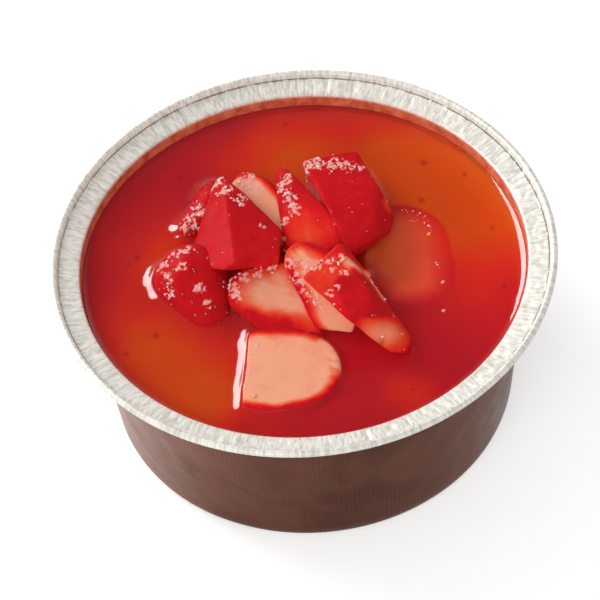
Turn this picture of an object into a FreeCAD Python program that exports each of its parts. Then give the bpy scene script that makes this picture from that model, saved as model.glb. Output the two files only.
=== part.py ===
"""Dessert pot: a round foil cup of strawberry jelly with cut strawberries heaped on it.

The origin is the centre of the cup's base and +Z is up.  Every length is in millimetres.
"""
import FreeCAD, Part
import Sketcher
import math
import os

doc = FreeCAD.newDocument("dessert_pot")
sheet = doc.addObject("Spreadsheet::Sheet", "Sizes")

# ---------------------------------------------------------------- driving dimensions

POT_SIZES = {
    "foil": 0.2,              # wall of the pressed cup
    "base_radius": 34.4,      # outer radius of the flat base, before its corner is rounded
    "corner_radius": 2.2,     # outer radius of the corner between base and wall
    "mouth_radius": 37.6,     # inner radius where the wall turns into the flange
    "mouth_height": 32.0,     # height of that turn
    "turn_radius": 0.4,       # food-side radius of that turn
    "groove_radius": 41.1,    # foot of the upright lip, at the outer edge of the flange
    "groove_height": 32.75,   # the flange climbs this little on its way out
    "rim_radius": 42.5,       # outermost radius, on the rolled edge
    "roll_radius": 0.6,       # half the thickness of the rolled edge
    "roll_height": 33.15,     # height of the middle of the rolled edge
    "jelly_level": 28.9,      # top of the jelly
}

# Sizes that follow from the ones above.
POT_FORMULAS = {
    "base_inner_radius": "=base_radius - foil",
    "corner_inner_radius": "=corner_radius - foil",
    "turn_outer_radius": "=turn_radius - foil",
    "mouth_outer_radius": "=mouth_radius + foil",
    "mouth_under_height": "=mouth_height - foil",
    "groove_outer_radius": "=groove_radius + foil",
    "groove_under_height": "=groove_height - foil",
    "roll_middle_radius": "=rim_radius - roll_radius",
    "lip_inner_radius": "=roll_middle_radius - foil / 2",
    "lip_outer_radius": "=roll_middle_radius + foil / 2",
    "jelly_radius": "=base_inner_radius + (mouth_radius - base_inner_radius)"
                    " * (jelly_level - foil) / (mouth_height - foil)",
}

# Each cut of strawberry is measured on the whole berry that it came from.  The berry lies
# along its own X, from the flat cut under the leaves to the tip:
#   length, radius   of the whole berry, from leaf cut to tip and at its thickest
#   shoulder         from the leaf cut to the thickest place, as a share of the radius
#   tip              radius of the rounded tip, as a share of the thickest radius
#   thickness        of a slice, which has the core in its middle
#   angle            of a wedge, measured about the core
#   facets           flats left by further knife strokes: a point and the way the flat faces
# It lies with the middle of the berry at "at".  "turn" is the heading of the tip in plan,
# how far the tip rises and how far the piece is rolled about its core, in degrees.
# "under" names the pieces that are pressed into it from above.
BERRY_CUTS = {
    "wedge_left": {
        "length": 21.0, "radius": 9.8, "shoulder": 0.3, "tip": 0.3, "angle": 150,
        "at": (-10.6, 8.2, 31.3), "turn": (97, 14, -4), "under": [],
        "facets": [
            ((11.1, 1.0, 1.1), (0.51, -0.85, 0.14)),
            ((-2.8, -7.6, 3.0), (-0.3, -0.93, -0.22)),
            ((-10.9, -5.4, 5.1), (-0.77, 0.15, -0.62)),
            ((-2.0, 7.8, 3.8), (0.46, 0.87, 0.18)),
            ((8.4, 0.3, 4.2), (0.17, -0.37, 0.91)),
            ((8.6, 0.6, 4.1), (0.21, 0.49, 0.84)),
        ]},
    "wedge_top_right": {
        "length": 22.0, "radius": 11.4, "shoulder": 0.3, "tip": 0.4, "angle": 150,
        "at": (8.0, 6.7, 29.2), "turn": (-76, 14, -8), "under": [],
        "facets": [
            ((-10.6, -4.9, 9.1), (0.04, -0.99, -0.16)),
            ((-6.6, 5.1, 9.5), (-0.06, 0.95, 0.31)),
            ((6.9, 7.0, 6.3), (0.74, 0.43, -0.52)),
            ((-10.4, -4.9, 9.2), (0.26, -0.05, 0.96)),
        ]},
    "wedge_mid": {
        "length": 21.5, "radius": 8.7, "shoulder": 0.35, "tip": 0.5, "angle": 140,
        "at": (8.3, -13.6, 31.2), "turn": (-49, -15, 5), "under": [],
        "facets": [
            ((-9.4, 7.3, 1.0), (0.2, 0.95, 0.25)),
            ((10.9, -1.6, 4.9), (0.52, -0.66, -0.55)),
            ((9.5, -3.6, 5.8), (0.04, -0.84, -0.54)),
            ((-7.9, 4.3, 5.6), (0.18, 0.78, 0.6)),
            ((3.8, 1.3, 5.8), (0.41, 0.02, 0.91)),
            ((-9.1, 1.7, 5.1), (-0.12, -0.14, 0.98)),
        ]},
    "slice_mid": {
        "length": 19.0, "radius": 6.7, "shoulder": 0.7, "tip": 0.5, "thickness": 3.1,
        "at": (3.9, -7.5, 32.9), "turn": (130, 16, -23), "under": ["wedge_mid"],
        "facets": [
            ((-2.5, -7.5, -2.3), (-0.87, -0.46, -0.2)),
            ((-4.6, 6.9, 2.8), (-0.58, 0.73, -0.36)),
        ]},
    "wedge_top_mid": {
        "length": 20.0, "radius": 6.8, "shoulder": 0.55, "tip": 0.3, "angle": 110,
        "at": (1.2, 10.0, 31.4), "turn": (112, 14, -31),
        "under": ["wedge_top_right", "slice_centre"],
        "facets": [
            ((2.9, -2.1, 3.4), (0.07, -0.13, 0.99)),
        ]},
    "slice_centre": {
        "length": 17.8, "radius": 7.7, "shoulder": 0.75, "tip": 0.6, "thickness": 3.5,
        "at": (-4.7, -7.3, 30.0), "turn": (158, 6, -19), "under": ["wedge_left", "slice_mid"]},
    "slice_back": {
        "length": 17.0, "radius": 8.0, "shoulder": 0.55, "tip": 0.36, "thickness": 3.2,
        "at": (-7.0, 9.7, 29.7), "turn": (-41, -3, 15), "under": ["wedge_top_mid"]},
    "wedge_left_back": {
        "length": 12.5, "radius": 5.2, "shoulder": 0.55, "tip": 0.5, "angle": 150,
        "at": (-16.0, 13.7, 28.4), "turn": (-134, 12, -6), "under": ["slice_back"]},
    "wedge_left_front": {
        "length": 16.5, "radius": 7.0, "shoulder": 0.7, "tip": 0.6, "angle": 150,
        "at": (-17.7, -3.3, 27.9), "turn": (-74, -2, 13), "under": ["wedge_left", "slice_centre"]},
    "slice_right": {
        "length": 23.0, "radius": 9.4, "shoulder": 0.9, "tip": 0.78, "thickness": 3.8,
        "at": (16.6, 0.6, 26.4), "turn": (-71, -2, -5), "under": ["wedge_top_right"]},
    "slice_front": {
        "length": 16.0, "radius": 9.1, "shoulder": 0.5, "tip": 0.92, "thickness": 3.2,
        "at": (-3.3, -21.9, 28.4), "turn": (-9, 1, 1), "under": ["slice_centre"]},
}
BERRY_LENGTHS = ("length", "radius", "shoulder", "tip", "thickness", "angle")
KNIFE_SIZES = {
    "knife_width": 60.0,      # of the block that each further knife stroke takes away
    "knife_depth": 20.0,
}


def fill_sheet():
    """Write every driving size and formula into the sheet, one aliased cell each."""
    cells = dict(POT_SIZES)
    cells.update(POT_FORMULAS)
    cells.update(KNIFE_SIZES)
    for piece, sizes in BERRY_CUTS.items():
        for size in BERRY_LENGTHS:
            if size in sizes:
                cells[piece + "_" + size] = sizes[size]
        if "thickness" in sizes:
            cells[piece + "_half_thickness"] = "=" + piece + "_thickness / 2"
        cells[piece + "_middle"] = "=" + piece + "_length / 2"
        cells[piece + "_thickest"] = "=" + piece + "_shoulder * " + piece + "_radius - " + piece + "_middle"
        cells[piece + "_tip_radius"] = "=" + piece + "_tip * " + piece + "_radius"
    for row, (alias, value) in enumerate(cells.items(), start=1):
        sheet.set("A%d" % row, alias)
        sheet.set("B%d" % row, str(value))
        sheet.setAlias("B%d" % row, alias)
    doc.recompute()


def size(alias):
    """The number in a cell of the sheet."""
    return float(sheet.get(alias))


# ---------------------------------------------------------------- sketching helpers


def new_body(name):
    return doc.addObject("PartDesign::Body", name)


def new_sketch(body, name):
    """A sketch on the body's own XZ plane: its x is the body's X and its y is the body's Z."""
    plane = [f for f in body.Origin.OriginFeatures if f.Role == "XZ_Plane"][0]
    sketch = body.newObject("Sketcher::SketchObject", name)
    sketch.AttachmentSupport = [(plane, "")]
    sketch.MapMode = "FlatFace"
    return sketch


def bind(sketch, kind, *where, to):
    """Add a dimension between the given sketch points and bind it to a cell."""
    index = sketch.addConstraint(Sketcher.Constraint(kind, *where, size(to)))
    sketch.setExpression("Constraints[%d]" % index, "Sizes." + to)


def outline(sketch, corners):
    """Draw a closed outline of straight lines through corners named by cells (0 is the axis)."""
    places = [tuple(size(c) if c else 0.0 for c in corner) for corner in corners]
    count = len(corners)
    for i in range(count):
        start = FreeCAD.Vector(*places[i], 0)
        end = FreeCAD.Vector(*places[(i + 1) % count], 0)
        sketch.addGeometry(Part.LineSegment(start, end), False)
    for i in range(count):
        sketch.addConstraint(Sketcher.Constraint("Coincident", i, 2, (i + 1) % count, 1))
    for i, (across, up) in enumerate(corners):
        if across:
            bind(sketch, "DistanceX", -1, 1, i, 1, to=across)
        else:
            sketch.addConstraint(Sketcher.Constraint("PointOnObject", i, 1, -2))
        if up:
            bind(sketch, "DistanceY", -1, 1, i, 1, to=up)
        else:
            sketch.addConstraint(Sketcher.Constraint("PointOnObject", i, 1, -1))


def rectangle(sketch, left, right, bottom, top):
    """Draw a rectangle whose sides are named by cells; a leading minus turns a cell's sign."""
    def place(side):
        return -size(side[1:]) if side.startswith("-") else size(side)

    def hold(kind, line, side):
        if side.startswith("-"):
            bind(sketch, kind, line, 1, -1, 1, to=side[1:])
        else:
            bind(sketch, kind, -1, 1, line, 1, to=side)

    first = sketch.GeometryCount
    corners = [(left, bottom), (right, bottom), (right, top), (left, top)]
    for i in range(4):
        start = FreeCAD.Vector(place(corners[i][0]), place(corners[i][1]), 0)
        end = FreeCAD.Vector(place(corners[(i + 1) % 4][0]), place(corners[(i + 1) % 4][1]), 0)
        sketch.addGeometry(Part.LineSegment(start, end), False)
    for i in range(4):
        sketch.addConstraint(Sketcher.Constraint("Coincident", first + i, 2, first + (i + 1) % 4, 1))
        sketch.addConstraint(Sketcher.Constraint("Vertical" if i % 2 else "Horizontal", first + i))
    hold("DistanceX", first, left)
    hold("DistanceY", first, bottom)
    hold("DistanceX", first + 2, right)
    hold("DistanceY", first + 2, top)


def revolve(body, sketch, name, axis="V_Axis", angle=None):
    """Turn a sketch about one of its axes: all the way, or by half the angle to each side."""
    turned = body.newObject("PartDesign::Revolution", name)
    turned.Profile = sketch
    turned.ReferenceAxis = (sketch, [axis])
    turned.Angle = 360.0
    if angle:
        turned.Midplane = True
        turned.setExpression("Angle", "Sizes." + angle)
    doc.recompute()
    return turned


def round_edge(body, name, radius, across, up):
    """Round the circular edge that lies at the given radius and height."""
    base = body.Tip
    found = []
    for i, edge in enumerate(base.Shape.Edges, start=1):
        if not isinstance(edge.Curve, Part.Circle):
            continue
        if abs(edge.Curve.Radius - size(across)) > 1e-4:
            continue
        if abs(edge.Curve.Center.z - (size(up) if up else 0.0)) < 1e-4:
            found.append("Edge%d" % i)
    fillet = body.newObject("PartDesign::Fillet", name)
    fillet.Base = (base, found)
    fillet.setExpression("Radius", "Sizes." + radius)
    doc.recompute()


# ---------------------------------------------------------------- foil cup


def make_foil_cup():
    """One pressed piece of foil: flat base, leaning wall, flange, and an edge rolled outward."""
    body = new_body("foil_cup")
    wall = new_sketch(body, "foil_cup_section")
    outline(wall, [
        (0, 0),
        ("base_radius", 0),
        ("mouth_outer_radius", "mouth_under_height"),
        ("groove_outer_radius", "groove_under_height"),
        ("lip_outer_radius", "roll_height"),
        ("lip_inner_radius", "roll_height"),
        ("groove_radius", "groove_height"),
        ("mouth_radius", "mouth_height"),
        ("base_inner_radius", "foil"),
        (0, "foil"),
    ])
    revolve(body, wall, "foil_cup_wall")
    roll = new_sketch(body, "foil_cup_roll_section")
    middle = FreeCAD.Vector(size("roll_middle_radius"), size("roll_height"), 0)
    roll.addGeometry(Part.Circle(middle, FreeCAD.Vector(0, 0, 1), size("roll_radius")), False)
    bind(roll, "Radius", 0, to="roll_radius")
    bind(roll, "DistanceX", -1, 1, 0, 3, to="roll_middle_radius")
    bind(roll, "DistanceY", -1, 1, 0, 3, to="roll_height")
    revolve(body, roll, "foil_cup_roll")
    round_edge(body, "corner_outside", "corner_radius", "base_radius", 0)
    round_edge(body, "corner_inside", "corner_inner_radius", "base_inner_radius", "foil")
    round_edge(body, "turn_food_side", "turn_radius", "mouth_radius", "mouth_height")
    round_edge(body, "turn_underside", "turn_outer_radius", "mouth_outer_radius", "mouth_under_height")
    return body


# ---------------------------------------------------------------- strawberry


def berry_section(body, piece):
    """Half the outline of a berry: leaf cut, round shoulder, straight flank and round tip."""
    length, radius = size(piece + "_length"), size(piece + "_radius")
    tip_radius = size(piece + "_tip_radius")
    shoulder = FreeCAD.Vector(size(piece + "_thickest"), 0, 0)
    tip = FreeCAD.Vector(length / 2 - tip_radius, 0, 0)
    flank = math.pi / 2 - math.asin((radius - tip_radius) / (tip.x - shoulder.x))
    leaf_cut = math.pi - math.acos(size(piece + "_shoulder"))
    up = FreeCAD.Vector(0, 0, 1)
    big_arc = Part.ArcOfCircle(Part.Circle(shoulder, up, radius), flank, leaf_cut)
    tip_arc = Part.ArcOfCircle(Part.Circle(tip, up, tip_radius), 0, flank)
    leaf_end = FreeCAD.Vector(-length / 2, 0, 0)
    tip_end = FreeCAD.Vector(length / 2, 0, 0)

    sketch = new_sketch(body, piece + "_section")
    sketch.addGeometry([
        Part.LineSegment(leaf_end, tip_end),                             # 0 core
        Part.LineSegment(leaf_end, big_arc.EndPoint),                    # 1 leaf cut
        big_arc,                                                         # 2 shoulder
        Part.LineSegment(tip_arc.EndPoint, big_arc.StartPoint),          # 3 flank
        tip_arc,                                                         # 4 tip
    ], False)
    sketch.addConstraint([
        Sketcher.Constraint("PointOnObject", 0, 1, -1),
        Sketcher.Constraint("PointOnObject", 0, 2, -1),
        Sketcher.Constraint("Coincident", 1, 1, 0, 1),
        Sketcher.Constraint("Vertical", 1),
        Sketcher.Constraint("Coincident", 1, 2, 2, 2),
        Sketcher.Constraint("PointOnObject", 2, 3, -1),
        Sketcher.Constraint("Tangent", 3, 2, 2, 1),
        Sketcher.Constraint("Tangent", 4, 2, 3, 1),
        Sketcher.Constraint("PointOnObject", 4, 3, -1),
        Sketcher.Constraint("Coincident", 4, 1, 0, 2),
    ])
    bind(sketch, "Radius", 2, to=piece + "_radius")
    bind(sketch, "Radius", 4, to=piece + "_tip_radius")
    bind(sketch, "DistanceX", 0, 1, -1, 1, to=piece + "_middle")
    bind(sketch, "DistanceX", -1, 1, 0, 2, to=piece + "_middle")
    bind(sketch, "DistanceX", -1, 1, 2, 3, to=piece + "_thickest")
    return sketch


def slice_faces(body, piece):
    """Cut off what lies beyond a slice's two faces."""
    tip, radius, face = piece + "_middle", piece + "_radius", piece + "_half_thickness"
    sketch = new_sketch(body, piece + "_waste")
    rectangle(sketch, "-" + tip, tip, face, radius)
    rectangle(sketch, "-" + tip, tip, "-" + radius, "-" + face)
    pocket = body.newObject("PartDesign::Pocket", piece + "_knife")
    pocket.Profile = sketch
    pocket.Type = "ThroughAll"
    pocket.Midplane = True
    before = body.Shape.Volume
    doc.recompute()
    if body.Shape.Volume > before - 1.0:
        raise RuntimeError("the knife missed " + piece)


def knife_blocks(piece, lay):
    """The blocks that further knife strokes take away, for a piece that is laid at "lay"."""
    blocks = []
    for number, (point, facing) in enumerate(BERRY_CUTS[piece].get("facets", []), start=1):
        block = doc.addObject("Part::Box", "%s_facet_%d" % (piece, number))
        block.setExpression("Length", "Sizes.knife_width")
        block.setExpression("Width", "Sizes.knife_width")
        block.setExpression("Height", "Sizes.knife_depth")
        turn = FreeCAD.Rotation(FreeCAD.Vector(0, 0, 1), FreeCAD.Vector(*facing))
        half = size("knife_width") / 2
        middle = FreeCAD.Placement(FreeCAD.Vector(-half, -half, 0), FreeCAD.Rotation())
        block.Placement = lay * FreeCAD.Placement(FreeCAD.Vector(*point), turn) * middle
        blocks.append(block)
    return blocks


def make_berry_cut(piece):
    """One slice or wedge of strawberry, laid in its place in the heap."""
    sizes = BERRY_CUTS[piece]
    body = new_body(piece + "_cut")
    section = berry_section(body, piece)
    revolve(body, section, piece + "_flesh", "H_Axis", piece + "_angle" if "angle" in sizes else None)
    if "thickness" in sizes:
        slice_faces(body, piece)
    heading, rise, roll = sizes["turn"]
    body.Placement = FreeCAD.Placement(FreeCAD.Vector(*sizes["at"]), FreeCAD.Rotation(heading, -rise, roll))
    return take_away(piece + "_whole", body, knife_blocks(piece, body.Placement))


def take_away(name, base, tools):
    """The base less all the tools, one after another."""
    for number, tool in enumerate(tools, start=1):
        cut = doc.addObject("Part::Cut", "%s_less_%d" % (name, number))
        cut.Base = base
        cut.Tool = tool
        base = cut
    doc.recompute()
    return base


def press_together(cuts):
    """Let every piece give way to the pieces that lie on it, so that no two overlap."""
    return {piece: take_away(piece, cut, [cuts[above] for above in BERRY_CUTS[piece]["under"]])
            for piece, cut in cuts.items()}


# ---------------------------------------------------------------- jelly


def make_jelly(pieces):
    """Set jelly: it fills the cup up to its level and closes round the fruit."""
    body = new_body("jelly_fill")
    section = new_sketch(body, "jelly_section")
    outline(section, [
        (0, "foil"),
        ("base_inner_radius", "foil"),
        ("jelly_radius", "jelly_level"),
        (0, "jelly_level"),
    ])
    revolve(body, section, "jelly_poured")
    round_edge(body, "jelly_corner", "corner_inner_radius", "base_inner_radius", "foil")
    return take_away("jelly", body, pieces)


# ---------------------------------------------------------------- assembly and files


fill_sheet()
cup = make_foil_cup()
fruit = press_together({piece: make_berry_cut(piece) for piece in BERRY_CUTS})
jelly = make_jelly(list(fruit.values()))
doc.recompute()

nodes = {"foil_cup": cup, "jelly": jelly}
nodes.update(fruit)

for item in doc.Objects:
    if "Invalid" in item.State or "Error" in item.State:
        raise RuntimeError("%s did not compute: %s" % (item.Name, item.State))
for name, node in nodes.items():
    node.Label = name
    if node.Shape.isNull() or not node.Shape.isValid():
        raise RuntimeError("%s has no valid shape" % name)

os.makedirs("parts", exist_ok=True)
for name, node in nodes.items():
    node.Shape.exportStep("parts/%s.step" % name)
    box = node.Shape.BoundBox
    print("%-16s %d solid(s) %9.1f mm3  z %.2f to %.2f" % (
        name, len(node.Shape.Solids), node.Shape.Volume, box.ZMin, box.ZMax))
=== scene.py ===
import math
import random

import bmesh
import bpy
from mathutils import Euler, Matrix, Vector, kdtree, noise
from mathutils.bvhtree import BVHTree


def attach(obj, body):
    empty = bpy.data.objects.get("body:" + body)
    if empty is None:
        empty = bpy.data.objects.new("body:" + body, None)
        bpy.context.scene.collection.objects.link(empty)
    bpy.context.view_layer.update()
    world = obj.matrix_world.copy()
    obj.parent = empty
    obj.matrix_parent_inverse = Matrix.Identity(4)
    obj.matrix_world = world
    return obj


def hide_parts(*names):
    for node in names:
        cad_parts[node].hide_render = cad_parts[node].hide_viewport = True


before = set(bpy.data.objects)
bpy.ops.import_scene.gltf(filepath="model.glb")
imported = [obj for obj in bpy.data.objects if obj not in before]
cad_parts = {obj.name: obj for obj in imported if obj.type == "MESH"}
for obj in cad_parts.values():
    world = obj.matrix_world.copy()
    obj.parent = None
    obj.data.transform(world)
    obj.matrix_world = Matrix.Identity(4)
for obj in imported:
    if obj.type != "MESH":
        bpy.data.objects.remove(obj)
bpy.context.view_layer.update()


# ================================================================ foil cup
# One round blank of aluminium foil, lacquered brown on the outside, pressed into a cup.  The
# press gathers the wall into fine upright pleats and crinkles the flange, and the raw edge is
# curled outward and under.
FOIL = 0.2                # its thickness; every shape is in millimetres until it is finished
WALL_TOP = 31.8
FLANGE_START = 38.1       # radius from which the press has crinkled it
FLANGE_TOP = 32.6         # the curled lip lies above this
FOIL_BENDS = [            # outside of the foil: radius, height, and how sharply it turns there
    (34.4, 0.0, 2.2),         # corner between base and wall
    (37.8, WALL_TOP, 0.25),   # mouth, where the wall turns out into the flange
    (41.3, 32.5, 0.12),       # groove at the foot of the lip
]
LIP_START = (41.5, 33.15)
CURL_MIDDLE = (41.9, 33.15)
CURL_TURN = 290
CUP_STEPS = 640


def unit_noise(x, y, z):
    return noise.noise(Vector((x, y, z)))


def held(value):
    """A value held between 0 and 1."""
    return min(max(value, 0.0), 1.0)


def wall_dent(angle, height):
    """How far the wall stands out from a true cone here, in millimetres."""
    grip = math.sin(math.pi * held(height / WALL_TOP))
    broad = unit_noise(3.2 * math.cos(angle), 3.2 * math.sin(angle), height / 14)
    local = unit_noise(9 * math.cos(angle), 9 * math.sin(angle), 5 + height / 5)
    return grip * (0.22 * broad + 0.12 * local)


def run_on(bm, end, to, cuts):
    """Carry a wire on in a straight line from its end."""
    made = bmesh.ops.extrude_vert_indiv(bm, verts=[end])
    place = Vector((to[0], 0, to[1]))
    made["verts"][0].co = place
    if cuts:
        bmesh.ops.subdivide_edges(bm, edges=made["edges"], cuts=cuts)
    return min(bm.verts, key=lambda vert: (vert.co - place).length)


def bend_on(bm, end, middle, degrees, steps):
    """Carry a wire on round an arc from its end."""
    middle = Vector((middle[0], 0, middle[1]))
    place = middle + Matrix.Rotation(math.radians(degrees), 3, "Y") @ (end.co - middle)
    bmesh.ops.spin(bm, geom=[end], cent=middle, axis=(0, 1, 0), angle=math.radians(degrees),
                   steps=steps)
    return min(bm.verts, key=lambda vert: (vert.co - place).length)


def finish_mesh(bm, name):
    """A mesh in metres from a finished drawing in millimetres, shaded smooth."""
    bmesh.ops.scale(bm, vec=(0.001, 0.001, 0.001), verts=bm.verts)
    mesh = bpy.data.meshes.new(name)
    bm.to_mesh(mesh)
    bm.free()
    mesh.polygons.foreach_set("use_smooth", [True] * len(mesh.polygons))
    piece = bpy.data.objects.new(name, mesh)
    bpy.context.scene.collection.objects.link(piece)
    return piece


def foil_section(bm):
    """Half the section of the cup, along the outside of the foil from the base's middle."""
    end = bm.verts.new((0, 0, 0))
    places = [(0.0, 0.0)] + [bend[:2] for bend in FOIL_BENDS] + [LIP_START]
    cuts = [4, 22, 9, 1]
    for i, (across, up, radius) in enumerate(FOIL_BENDS, start=1):
        before = Vector((across - places[i - 1][0], up - places[i - 1][1])).normalized()
        after = Vector((places[i + 1][0] - across, places[i + 1][1] - up)).normalized()
        turn = before.angle_signed(after)
        reach = radius * math.tan(abs(turn) / 2)
        start = Vector((across, up)) - before * reach
        side = Vector((before.y, -before.x)) * (1 if turn > 0 else -1)
        end = run_on(bm, end, start, cuts[i - 1])
        end = bend_on(bm, end, start + side * radius, math.degrees(turn), 4)
    end = run_on(bm, end, LIP_START, cuts[3])
    bend_on(bm, end, CURL_MIDDLE, CURL_TURN, 16)


RIM_RADIUS = 41
CREASES = [               # sharp folds across the flange, in degrees round the rim
    28, 47, 66, 73, 80, 97, 118, 151, 187, 214, 246, 281, 309, 337, 351, 8,
]
CREASE_DEPTH = 0.16
CREASE_WIDTH = 0.32


def flange_crinkle(angle, across):
    """Height of the crinkles and creases that the press leaves in the flange, in millimetres."""
    x, y = RIM_RADIUS * math.cos(angle), RIM_RADIUS * math.sin(angle)
    fine = unit_noise(x / 0.5, y / 0.5, across / 1.6)
    block = unit_noise(x / 0.95, y / 0.95, across / 0.8)
    broad = unit_noise(x / 7, y / 7, across / 9)
    turns = [math.remainder(angle - math.radians(crease), 2 * math.pi) for crease in CREASES]
    fold = min(abs(turn) for turn in turns) * RIM_RADIUS
    crease = CREASE_DEPTH * math.exp(-(fold / CREASE_WIDTH) ** 2)
    return 0.06 * fine + 0.07 * block + 0.10 * broad - crease


def press_cup():
    bm = bmesh.new()
    foil_section(bm)
    bmesh.ops.spin(bm, geom=bm.verts[:] + bm.edges[:], cent=(0, 0, 0), axis=(0, 0, 1),
                   angle=2 * math.pi, steps=CUP_STEPS, use_merge=True)
    bmesh.ops.remove_doubles(bm, verts=bm.verts, dist=0.01)
    bmesh.ops.recalc_face_normals(bm, faces=bm.faces)
    wall = max(bm.faces, key=lambda f: f.calc_area() if 10 < f.calc_center_median().z < 20 else 0)
    if wall.normal.dot(wall.calc_center_median()) < 0:
        bmesh.ops.reverse_faces(bm, faces=bm.faces)
    for vert in bm.verts:
        across = math.hypot(vert.co.x, vert.co.y)
        angle = math.atan2(vert.co.y, vert.co.x)
        if across > 0 and vert.co.z < WALL_TOP:
            vert.co.xy *= 1 + wall_dent(angle, vert.co.z) / across
        elif across > FLANGE_START and vert.co.z < FLANGE_TOP:
            fade = min(1, (across - FLANGE_START) / 0.5)
            vert.co.z += flange_crinkle(angle, across) * fade
    outside = len(bm.faces)
    bmesh.ops.solidify(bm, geom=bm.faces[:], thickness=FOIL)
    bm.faces.ensure_lookup_table()
    for face in bm.faces[outside:]:
        face.material_index = 1
    return bm


def new_material(name):
    """A material with an empty surface, its node tree, and its output node."""
    material = bpy.data.materials.new(name)
    material.use_nodes = True
    nodes = material.node_tree.nodes
    nodes.clear()
    return material, nodes, nodes.new("ShaderNodeOutputMaterial")


def node(nodes, kind, label, values=None, **settings):
    """A shader node, with values for its sockets and settings of its own."""
    made = nodes.new("ShaderNode" + kind)
    made.name = made.label = label
    for key, value in settings.items():
        setattr(made, key, value)
    for socket, value in (values or {}).items():
        made.inputs[socket].default_value = value
    return made


def link(material, start, end):
    material.node_tree.links.new(start, end)


def math_node(material, label, operation, first, second=None, clamp=False):
    """A Math node; each input is a socket or a number."""
    made = node(material.node_tree.nodes, "Math", label, operation=operation, use_clamp=clamp)
    for socket, value in zip(made.inputs, (first, second)):
        if isinstance(value, bpy.types.NodeSocket):
            link(material, value, socket)
        elif value is not None:
            socket.default_value = value
    return made.outputs[0]


def noise_node(material, label, place, scale, detail=2.0, roughness=0.5, distortion=0.0):
    made = node(material.node_tree.nodes, "TexNoise", label, {
        "Scale": scale, "Detail": detail, "Roughness": roughness, "Distortion": distortion})
    link(material, place, made.inputs["Vector"])
    return made.outputs["Fac"]


def ramp(material, label, value, stops):
    """A colour ramp read at value; each stop is (place, (r, g, b)) or (place, grey)."""
    made = node(material.node_tree.nodes, "ValToRGB", label)
    elements = made.color_ramp.elements
    while len(elements) < len(stops):
        elements.new(0.5)
    for element, (place, colour) in zip(elements, stops):
        element.position = place
        grey = isinstance(colour, (int, float))
        element.color = (colour, colour, colour, 1) if grey else (*colour, 1)
    link(material, value, made.inputs["Fac"])
    return made.outputs["Color"]


def mix_colour(material, label, amount, first, second):
    """The first colour turned to the second by an amount; each is a socket or a value."""
    made = node(material.node_tree.nodes, "Mix", label, data_type="RGBA")
    factor, start, end = made.inputs[0], made.inputs[6], made.inputs[7]
    for socket, value in ((factor, amount), (start, first), (end, second)):
        if isinstance(value, bpy.types.NodeSocket):
            link(material, value, socket)
        else:
            socket.default_value = (*value, 1)
    return made.outputs[2]


def bump(material, label, height, distance, strength=1.0, under=None):
    """Relief of a height, up to a distance in metres, on top of the relief under it."""
    made = node(material.node_tree.nodes, "Bump", label, {
        "Distance": distance, "Strength": strength})
    link(material, height, made.inputs["Height"])
    if under:
        link(material, under, made.inputs["Normal"])
    return made.outputs["Normal"]


def split_place(material):
    """Where a point of a piece is, and its three coordinates apart."""
    nodes = material.node_tree.nodes
    place = node(nodes, "TexCoord", "place").outputs["Object"]
    parts = node(nodes, "SeparateXYZ", "parts")
    link(material, place, parts.inputs[0])
    return place, parts.outputs


def height_ramp(material, label, height, stops):
    """A ramp read up the lowest 40 mm of the pot, its stops in millimetres."""
    share = math_node(material, "part of 40 mm", "MULTIPLY", height, 25.0)
    return ramp(material, label, share, [(up / 40, amount) for up, amount in stops])


PLEATS = 290              # upright pleats round the wall
STREAKS_ROUND = 32.0      # how closely the press streaks lie round the rim
STREAKS_ACROSS = 190.0    # and how soon they end, outward and up


def streak_place(material, parts):
    """A place that runs fast round the cup and slowly outward and up, for drawn-out streaks."""
    nodes = material.node_tree.nodes
    flat = node(nodes, "CombineXYZ", "flat")
    link(material, parts["X"], flat.inputs["X"])
    link(material, parts["Y"], flat.inputs["Y"])
    across = node(nodes, "VectorMath", "across", operation="LENGTH")
    link(material, flat.outputs[0], across.inputs[0])
    outward = node(nodes, "VectorMath", "outward", operation="NORMALIZE")
    link(material, flat.outputs[0], outward.inputs[0])
    around = node(nodes, "VectorMath", "round the rim", {"Scale": STREAKS_ROUND},
                  operation="SCALE")
    link(material, outward.outputs[0], around.inputs[0])
    drawn = math_node(material, "out and up", "ADD", across.outputs["Value"], parts["Z"])
    stretched = math_node(material, "stretch", "MULTIPLY", drawn, STREAKS_ACROSS)
    lift = node(nodes, "CombineXYZ", "out and up the wall")
    link(material, stretched, lift.inputs["Z"])
    along = node(nodes, "VectorMath", "streak place", operation="ADD")
    link(material, around.outputs[0], along.inputs[0])
    link(material, lift.outputs[0], along.inputs[1])
    return along.outputs[0]


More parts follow.
